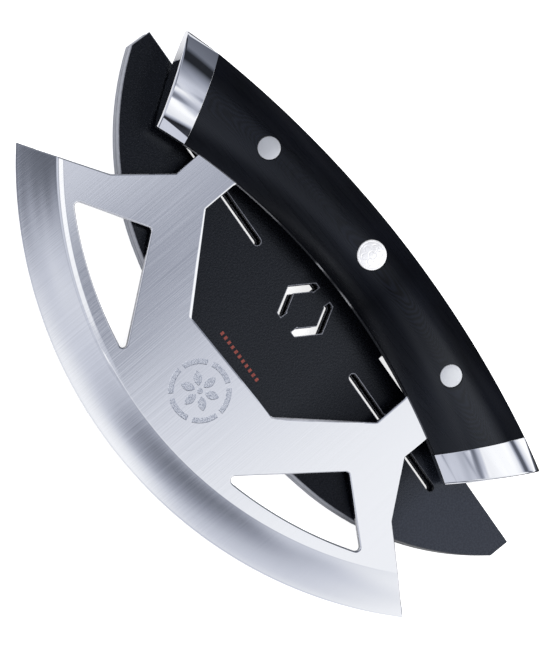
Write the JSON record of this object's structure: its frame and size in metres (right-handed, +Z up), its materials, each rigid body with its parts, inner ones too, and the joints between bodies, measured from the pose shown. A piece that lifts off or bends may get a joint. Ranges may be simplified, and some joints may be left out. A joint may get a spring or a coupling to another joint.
{
  "type": "ulu knife",
  "caption": "Curved ulu knife with a windowed full-tang blade and a riveted black handle with steel end caps, resting on its slotted black blade guard.",
  "frame": {"origin": "on the underside of the blade guard, 20 mm below the middle of its mouth, so z = 0 is the table", "axes": "+X along the line between the blade's two tips, +Y from the cutting edge towards the handle, +Z up from the table"},
  "size_m": [0.1833, 0.1025, 0.0258],
  "materials": {
    "blade_steel": "satin, brushed square to the tip line",
    "cap_steel": "mirror polished",
    "rivet_steel": "fine ground",
    "medallion_steel": "polished, lightly engraved",
    "handle_black": "satin laminate with faint contour grain",
    "guard_black": "fine matte moulded texture"
  },
  "bodies": {
    "guard": {"guard_front_shell": "guard_black", "guard_rear_shell": "guard_black"},
    "knife": {"blade": "blade_steel", "front_scale": "handle_black", "rear_scale": "handle_black", "left_end_cap": "cap_steel", "right_end_cap": "cap_steel", "left_rivet_sleeve": "rivet_steel", "left_rivet_pin": "rivet_steel", "right_rivet_sleeve": "rivet_steel", "right_rivet_pin": "rivet_steel", "middle_tube": "rivet_steel", "front_medallion": "medallion_steel", "rear_medallion": "medallion_steel"}
  },
  "joints": [
    {"name": "knife_lift", "type": "slide", "parent": "guard", "child": "knife", "axis": [0, 0, 1], "range_m": [0, 0.12]}
  ]
}
